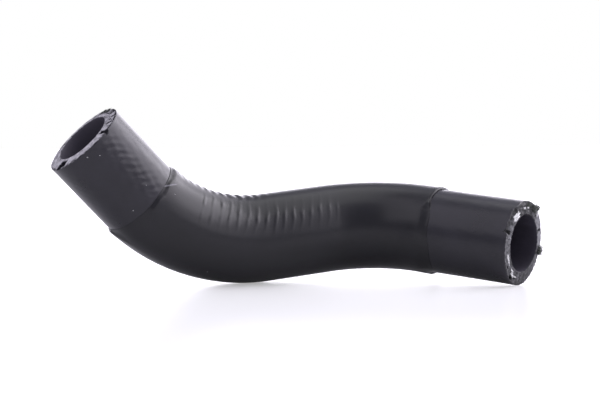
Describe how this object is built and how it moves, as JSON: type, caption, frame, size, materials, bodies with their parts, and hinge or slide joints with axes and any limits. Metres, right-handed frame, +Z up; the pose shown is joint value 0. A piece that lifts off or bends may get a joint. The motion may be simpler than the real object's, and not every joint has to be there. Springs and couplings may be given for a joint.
{
  "type": "radiator hose",
  "caption": "Moulded rubber coolant hose with two bends, a thin protective sleeve over its middle and yarn ends showing in the cut faces.",
  "frame": {"origin": "on the floor under the middle of the hose's outline", "axes": "+Z up as the hose rests, +X to the right along its length, from the raised left mouth to the right mouth"},
  "size_m": [0.1702, 0.0656, 0.0623],
  "materials": {
    "hose_rubber": "moulded satin, blue-black",
    "sleeve_rubber": "smooth satin, black",
    "white_yarn": "frayed synthetic yarn",
    "dark_yarn": "frayed synthetic yarn soaked with rubber"
  },
  "bodies": {
    "root": {"hose_body": "hose_rubber", "abrasion_sleeve": "sleeve_rubber", "left_yarn_1": "dark_yarn", "left_yarn_2": "dark_yarn", "left_yarn_3": "dark_yarn", "right_yarn_1": "dark_yarn", "right_yarn_2": "white_yarn", "right_yarn_3": "white_yarn", "right_yarn_4": "white_yarn", "right_yarn_5": "white_yarn", "right_yarn_6": "white_yarn", "right_yarn_7": "white_yarn", "right_yarn_8": "dark_yarn", "right_yarn_9": "white_yarn"}
  },
  "joints": []
}
